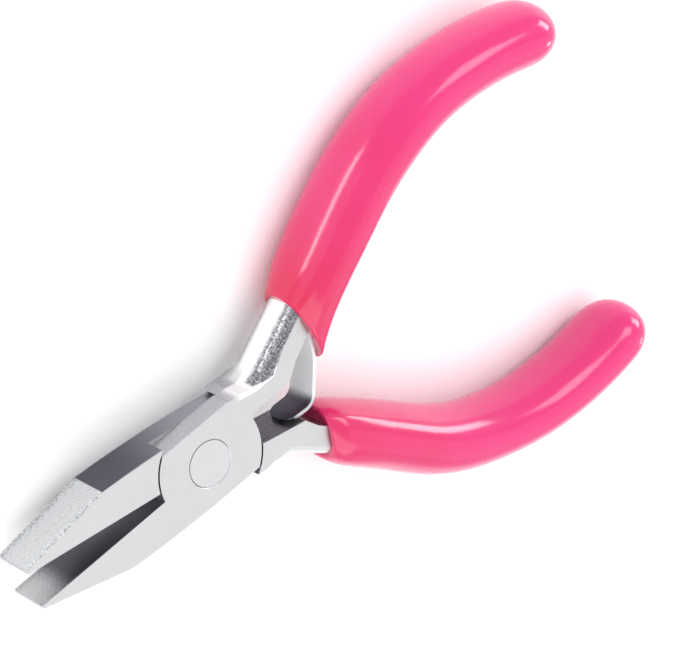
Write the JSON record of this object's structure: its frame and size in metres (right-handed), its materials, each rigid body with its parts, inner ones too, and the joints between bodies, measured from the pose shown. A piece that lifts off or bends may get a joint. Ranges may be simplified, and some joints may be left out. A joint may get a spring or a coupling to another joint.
{
  "type": "flat-nose pliers",
  "caption": "Small flat-nose jewellery pliers with a lap joint, flush pivot rivet, leaf return spring and curved slip-on handle sleeves.",
  "frame": {"origin": "on the pivot axis, in the plane of the head's rear face", "axes": "+X from the pivot to the handles along the line midway between them at rest, +Y to the upper handle, +Z along the pivot axis out of the head's front face"},
  "size_m": [0.1204, 0.0738, 0.0143],
  "materials": {
    "tool_steel": "satin ground, sandblasted nose bevels",
    "rivet_steel": "ground flush",
    "spring_steel": "satin strip",
    "pink_sleeve": "glossy soft vinyl"
  },
  "bodies": {
    "front_half": {"front_lever": "tool_steel", "pivot_rivet": "rivet_steel", "leaf_spring": "spring_steel", "spring_rivet": "rivet_steel", "upper_grip": "pink_sleeve"},
    "rear_half": {"rear_lever": "tool_steel", "lower_grip": "pink_sleeve"}
  },
  "joints": [
    {"name": "jaw_pivot", "type": "hinge", "parent": "front_half", "child": "rear_half", "pos_m": [0, 0, 0.00385], "axis": [0, 0, 1], "range_deg": [-15, 10.2], "stiffness_Nm_per_rad": 0.6, "deforming": ["leaf_spring"]}
  ]
}
